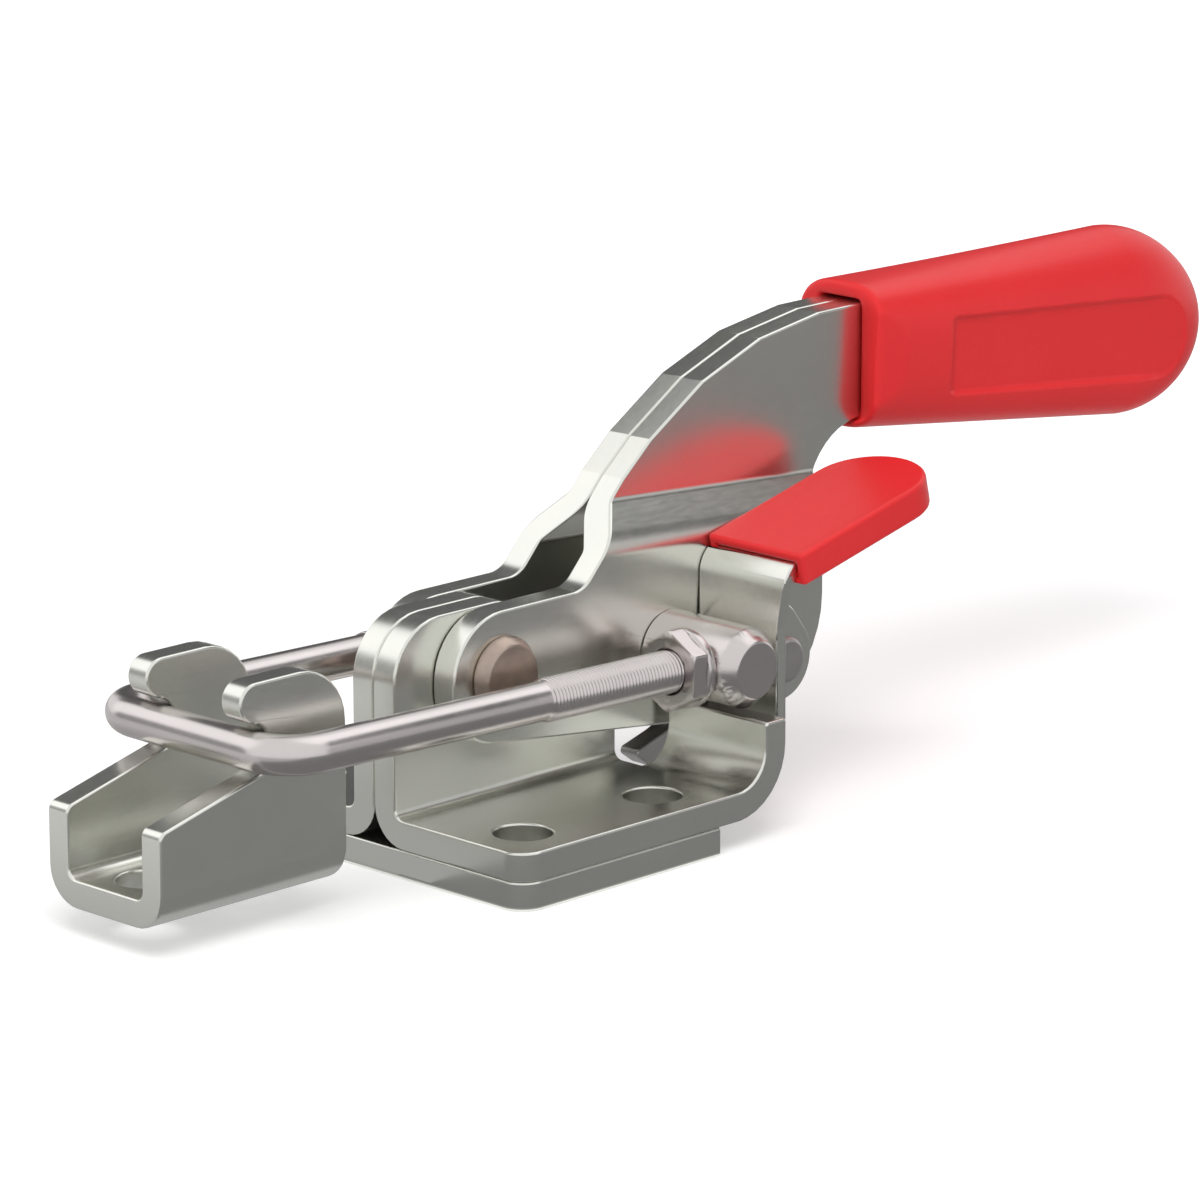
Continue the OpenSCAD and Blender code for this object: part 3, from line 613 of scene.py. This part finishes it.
def end_point(b, a):
    """Point on the grip's rounded end, at the angle b along it and the angle a round it."""
    r = GRIP_H / 2
    z = math.cos(b) * oval(GRIP_T / 2, r, a, BACK_SQUARE if a < math.pi else UNDER_SQUARE)[1]
    rise = math.sin(math.atan2(z, r * math.sin(b)))
    square = (BACK_SQUARE + UNDER_SQUARE) / 2 + rise * (BACK_SQUARE - UNDER_SQUARE) / 2
    reach = min(math.hypot(z, r * math.sin(b)) / r, 1)
    y = GRIP_T / 2 * (1 - reach ** square) ** (1 / square)
    return Vector((GRIP_L + GRIP_END_L * math.sin(b), y if math.cos(a) >= 0 else -y, z))


def box_distance(x, z, x0, x1, z0, z1, r):
    """Signed distance from a rounded rectangle, negative inside."""
    cx, cz = (x0 + x1) / 2, (z0 + z1) / 2
    dx = abs(x - cx) - (x1 - x0) / 2 + r
    dz = abs(z - cz) - (z1 - z0) / 2 + r
    return math.hypot(max(dx, 0), max(dz, 0)) + min(max(dx, dz), 0) - r


def panel_wall(x, z):
    """0 outside the bare recess, 1 on its floor; the wall at the open end is a long ramp."""
    t = min(max((x - PANEL_X) / PANEL_L, 0), 1)
    top = PANEL_H / 2 - PANEL_DROP - PANEL_TOP_TAPER * t
    bottom = -PANEL_H / 2 - PANEL_DROP - PANEL_UNDER_TAPER * t
    inside = -box_distance(x, z, PANEL_X - PANEL_OPEN, PANEL_X + PANEL_L, bottom, top,
                           PANEL_CORNER + PANEL_CORNER_GROWTH * t)
    return smooth(inside / PANEL_WALL) * smooth((x - PANEL_X) / PANEL_RAMP)


def grip_side(point):
    """Applies the flats at the open end and the bare recess to a point of the skin."""
    y = abs(point.y)
    flat = FLAT_T / 2 + math.tan(FLAT_ANGLE) * point.x
    y = soft_min(y, flat, FLAT_BLEND)
    wall = panel_wall(point.x, point.z)
    if wall > 0 and y > PANEL_LEAST_Y:
        floor = MOUTH_T / 2 - PANEL_DEPTH + (GRIP_T - MOUTH_T) / 2 / GRIP_L * point.x
        y += min(floor - y, 0) * wall
    return Vector((point.x, math.copysign(y, point.y), point.z))


def pocket_rings(angles, to_grip):
    """Rings of the pocket for the tang, from the inside out, widening at the mouth."""
    rings = []
    full = GRIP_X + POCKET_FULL
    for x, grow in ((TANG_END_X, 0.0), (full, 0.0), (GRIP_X + 1.2, 0.0), (GRIP_X + 0.5, 0.15),
                    (GRIP_X + 0.1, 0.5)):
        t = min(max((x - full) / (TANG_END_X - full), 0), 1)
        top = POCKET_TOP + (TANG_END_Z - POCKET_TOP) * t + grow
        bottom = POCKET_BOTTOM - grow
        ring = []
        for a in angles:
            y, z = oval(POCKET_HALF + grow, (top - bottom) / 2, a, POCKET_SQUARE)
            ring.append(to_grip @ Vector((x, y, (top + bottom) / 2 + z)))
        rings.append(ring)
    return rings


def mouth_rings(mouth):
    """Rings of the rounded edge round the mouth."""
    rings = []
    for turn in (0, 30, 60, 90):
        a = math.radians(turn)
        shrink = MOUTH_EDGE * (1 - math.sin(a))
        ring = []
        for p in mouth:
            q = grip_side(p)
            inward = Vector((0, p.y, p.z)).normalized() * shrink
            ring.append(Vector((MOUTH_EDGE * (1 - math.cos(a)), q.y - inward.y, q.z - inward.z)))
        rings.append(ring)
    return rings


def make_grip(material):
    place = Matrix.Translation((GRIP_X, 0, GRIP_Z)) @ Matrix.Rotation(GRIP_TILT, 4, "Y")
    angles = [2 * math.pi * j / GRIP_SIDES for j in range(GRIP_SIDES)]
    mouth = [Vector((0, *oval(MOUTH_T / 2, MOUTH_H / 2, a, MOUTH_SQUARE))) for a in angles]
    rear = [end_point(0, a) for a in angles]
    rings = pocket_rings(angles, place.inverted()) + mouth_rings(mouth)
    for i in range(1, GRIP_RINGS + 1):
        x = MOUTH_EDGE + (GRIP_L - MOUTH_EDGE) * i / GRIP_RINGS
        t = x / GRIP_L
        rings.append([grip_side(Vector((x, m.y + (r.y - m.y) * t, m.z + (r.z - m.z) * t)))
                      for m, r in zip(mouth, rear)])
    for i in range(1, END_RINGS):
        b = math.pi / 2 * (1 - (1 - i / END_RINGS) ** END_SPREAD)
        rings.append([grip_side(end_point(b, a)) for a in angles])
    points = [place @ p for ring in rings for p in ring]
    mesh_piece("moulded_grip", points, ring_faces(len(rings), GRIP_SIDES), material,
               "handle", "red_plastic", "handle_grip")


# ---- Lock spring ----------------------------------------------------------------------------

def make_spring(material):
    route = [Vector((7.6, SPRING_Y - 2.5, -3.2)), Vector((7.3, SPRING_Y, -2.8))]
    for i in range(SPRING_STEPS * SPRING_TURNS + 1):
        a = 2 * math.pi * i / SPRING_STEPS
        y = SPRING_Y + SPRING_PITCH * i / SPRING_STEPS
        route.append(Vector((SPRING_COIL_R * math.cos(a), y, SPRING_COIL_R * math.sin(a))))
    route.append(Vector((SPRING_COIL_R, SPRING_Y + SPRING_PITCH * SPRING_TURNS, SPRING_LEG_UP)))
    points = []
    for i, point in enumerate(route):
        t = (route[min(i + 1, len(route) - 1)] - route[max(i - 1, 0)]).normalized()
        u = t.cross(Vector((0, 1, 0))).normalized()
        v = t.cross(u)
        for j in range(SPRING_WIRE_SIDES):
            a = 2 * math.pi * j / SPRING_WIRE_SIDES
            points.append(SHAFT + point + (u * math.cos(a) + v * math.sin(a)) * SPRING_WIRE_R)
    mesh_piece("coiled_spring", points, ring_faces(len(route), SPRING_WIRE_SIDES), material,
               "release_lever", "dark_steel", "lock_spring")


# ---- Finish of the CAD solids ---------------------------------------------------------------

def modifier_tree(name):
    tree = bpy.data.node_groups.new(name, "GeometryNodeTree")
    tree.interface.new_socket("Geometry", in_out="INPUT", socket_type="NodeSocketGeometry")
    tree.interface.new_socket("Geometry", in_out="OUTPUT", socket_type="NodeSocketGeometry")
    start = add_node(tree, "NodeGroupInput", (-1200, 0))
    end = add_node(tree, "NodeGroupOutput", (300, 0))
    return tree, start, end


def smooth_shading_tree():
    """A modifier tree that turns smooth shading on without touching the mesh itself."""
    tree, start, end = modifier_tree("smooth shading")
    drop = add_node(tree, "GeometryNodeRemoveAttribute", (-150, 0))
    set_input(drop, "Name", "custom_normal")
    edges = add_node(tree, "GeometryNodeSetShadeSmooth", domain="EDGE")
    faces = add_node(tree, "GeometryNodeSetShadeSmooth", (150, 0), domain="FACE")
    tree.links.new(start.outputs[0], drop.inputs["Geometry"])
    tree.links.new(drop.outputs["Geometry"], edges.inputs["Geometry"])
    tree.links.new(edges.outputs["Geometry"], faces.inputs["Geometry"])
    tree.links.new(faces.outputs["Geometry"], end.inputs[0])
    return tree


SMOOTH_SHADING = smooth_shading_tree()


def rounded_edges_tree(ledge):
    """Marks the sharp edges that get rounded, apart from the tiny ledge at the given height."""
    tree, start, end = modifier_tree("rounded edges")
    bend = add_node(tree, "GeometryNodeInputMeshEdgeAngle", (-900, -200))
    sharp = add_node(tree, "FunctionNodeCompare", (-600, -200), data_type="FLOAT",
                     operation="GREATER_THAN")
    set_input(sharp, "B", ROUNDED_ABOVE)
    tree.links.new(bend.outputs["Unsigned Angle"], sharp.inputs["A"])
    ends = add_node(tree, "GeometryNodeInputMeshEdgeVertices", (-1200, -400))
    off_ledge = add_node(tree, "FunctionNodeBooleanMath", (-400, -400), operation="OR")
    for i, name in enumerate(("Position 1", "Position 2")):
        parts = add_node(tree, "ShaderNodeSeparateXYZ", (-900, -400 - 200 * i))
        tree.links.new(ends.outputs[name], parts.inputs[0])
        off = add_node(tree, "FunctionNodeCompare", (-600, -400 - 200 * i), data_type="FLOAT",
                       operation="NOT_EQUAL")
        set_input(off, "B", ledge)
        set_input(off, "Epsilon", 0.03 * MM)
        tree.links.new(parts.outputs["Z"], off.inputs["A"])
        tree.links.new(off.outputs["Result"], off_ledge.inputs[i])
    both = add_node(tree, "FunctionNodeBooleanMath", (-200, -200), operation="AND")
    tree.links.new(sharp.outputs["Result"], both.inputs[0])
    tree.links.new(off_ledge.outputs[0], both.inputs[1])
    store = add_node(tree, "GeometryNodeStoreNamedAttribute", domain="EDGE", data_type="FLOAT")
    set_input(store, "Name", "bevel_weight_edge")
    tree.links.new(start.outputs[0], store.inputs["Geometry"])
    tree.links.new(both.outputs[0], store.inputs["Value"])
    tree.links.new(store.outputs["Geometry"], end.inputs[0])
    return tree


def finish_solid(node, material, width, weld_gap):
    """Rounds the edges of a CAD solid and smooths its shading."""
    for slot in node.material_slots:
        slot.material = material
    weld = node.modifiers.new("weld", "WELD")
    weld.merge_threshold = weld_gap * MM
    shading = node.modifiers.new("smooth shading", "NODES")
    shading.node_group = SMOOTH_SHADING
    flat = node.modifiers.new("flat faces", "DECIMATE")
    flat.decimate_type = "DISSOLVE"
    flat.angle_limit = JOINED_BELOW
    has_ledge = node.name == "release_lever"
    if has_ledge:
        marks = node.modifiers.new("rounded edges", "NODES")
        marks.node_group = rounded_edges_tree(LEVER_LEDGE_Z * MM)
    bevel = node.modifiers.new("edge rounding", "BEVEL")
    bevel.width = width * MM
    bevel.segments = ROUNDING_STEPS
    bevel.limit_method = "WEIGHT" if has_ledge else "ANGLE"
    bevel.angle_limit = ROUNDED_ABOVE
    bevel.use_clamp_overlap = False
    bevel.harden_normals = False
    normals = node.modifiers.new("normals", "WEIGHTED_NORMAL")
    normals.keep_sharp = False


# ---- The scene ------------------------------------------------------------------------------

make_camera()
scene.view_settings.view_transform = "Standard"
make_world()
make_floor()

# What the metal reflects. Each spot of the tent is a direction, the angles in degrees where it is
# full and where it has gone, and its level
studio_tent((0.05, 0, 0.03), 1.8, 0.95, (
    ((0.55, -0.12, 0.82), 12, 30, 1.4),    # bends that face up and to the near side
    ((0.72, -0.69, 0.10), 12, 22, 0.52),   # near-side faces that lean up a little
    ((0.76, -0.42, 0.49), 11, 18, 0.10),   # near-side faces that lean up half-way
    ((0.66, 0.71, 0.25), 14, 24, 0.10),    # level faces that look up
    ((0.30, 0.69, 0.66), 9, 23, 0.11),     # edges that look up and a little to the front
    ((-0.45, 0.70, 0.52), 20, 34, 1.25),   # edges that look to the front and up
    ((-0.70, 0.70, 0.02), 12, 24, 0.32)))  # upright front faces that lean up a little
# Sheets for the upright near-side faces, for the upright front faces, and for all other sides; each
# is darker round the object, a painted shade of the floor that these faces reflect
floor_sheet("right_sheet", (0.46, -0.5125, 0.0006), (1.12, 1.015),
            (0.03, -0.02, 0), 0.03, 0.12, 0.22, 0.23)
floor_sheet("left_sheet", (-0.505, 0.514, 0.0008), (1.07, 1.052),
            (-0.01, 0.01, 0), 0.03, 0.10, 0.42, 0.66)
floor_sheet("under_sheet", (0, 0, 0.0004), (3.0, 3.0),
            (0.02, 0, 0), 0.05, 0.20, 0.38, 0.55)
softbox("key_lamp", (-0.5, -0.5, 1.1), (0.05, 0, 0.03), 0.7, 9.0)

zinc = surface("plated_steel", (0.81, 0.81, 0.755), (0.77, 0.775, 0.73), 1.0, (0.23, 0.27),
               grain_strength=0.06)
bright = surface("bright_steel", (0.67, 0.625, 0.615), (0.63, 0.59, 0.58), 1.0, (0.22, 0.26),
                 grain_strength=0.02)
rivet = surface("rivet_steel", (0.50, 0.40, 0.335), (0.38, 0.31, 0.275), 1.0, (0.30, 0.42),
                patch_scale=250.0, grain_strength=0.10)
dark = surface("dark_steel", (0.60, 0.58, 0.565), (0.52, 0.505, 0.495), 1.0, (0.36, 0.44),
               patch_scale=200.0, grain_strength=0.06)
red = surface("red_plastic", (0.81, 0.020, 0.024), (0.77, 0.016, 0.020), 0.0, (0.34, 0.40),
              patch_scale=40.0, grain_scale=4500.0, grain_strength=0.08, specular=0.4)

FINISH = {"plated_steel": zinc, "bright_steel": bright, "rivet_steel": rivet, "dark_steel": dark,
          "red_plastic": red}
EDGE_WIDTH = {"trunnion_near": 0.25, "trunnion_far": 0.25, "lever_cap": 0.7, "pivot_pin": 0.35,
              "lever_shaft": 0.3, "shaft_washer": 0.2, "spring_anchor_pin": 0.2,
              "pivot_bush": 0.2, "release_lever": 0.35, "catch_plate": 0.45}
USUAL_EDGE_WIDTH = 0.4
# A step of 0.1 mm under the rear bends is welded away, because it is too small to round
WELD_GAP = {"base_half_near": 0.12, "base_half_far": 0.12}
USUAL_WELD_GAP = 0.002
REPLACED = ("handle_grip", "lock_spring", "u_bolt", "hex_nut_near", "hex_nut_far")
for row in frame["record"]["subparts"]:
    name = row["node"]
    if name not in REPLACED:
        finish_solid(nodes[name], FINISH[row["material_slot"]],
                     EDGE_WIDTH.get(name, USUAL_EDGE_WIDTH), WELD_GAP.get(name, USUAL_WELD_GAP))

make_u_bolt(bright)
make_nut("chamfered_nut_near", -1, bright)
make_nut("chamfered_nut_far", 1, bright)
make_grip(red)
make_spring(dark)
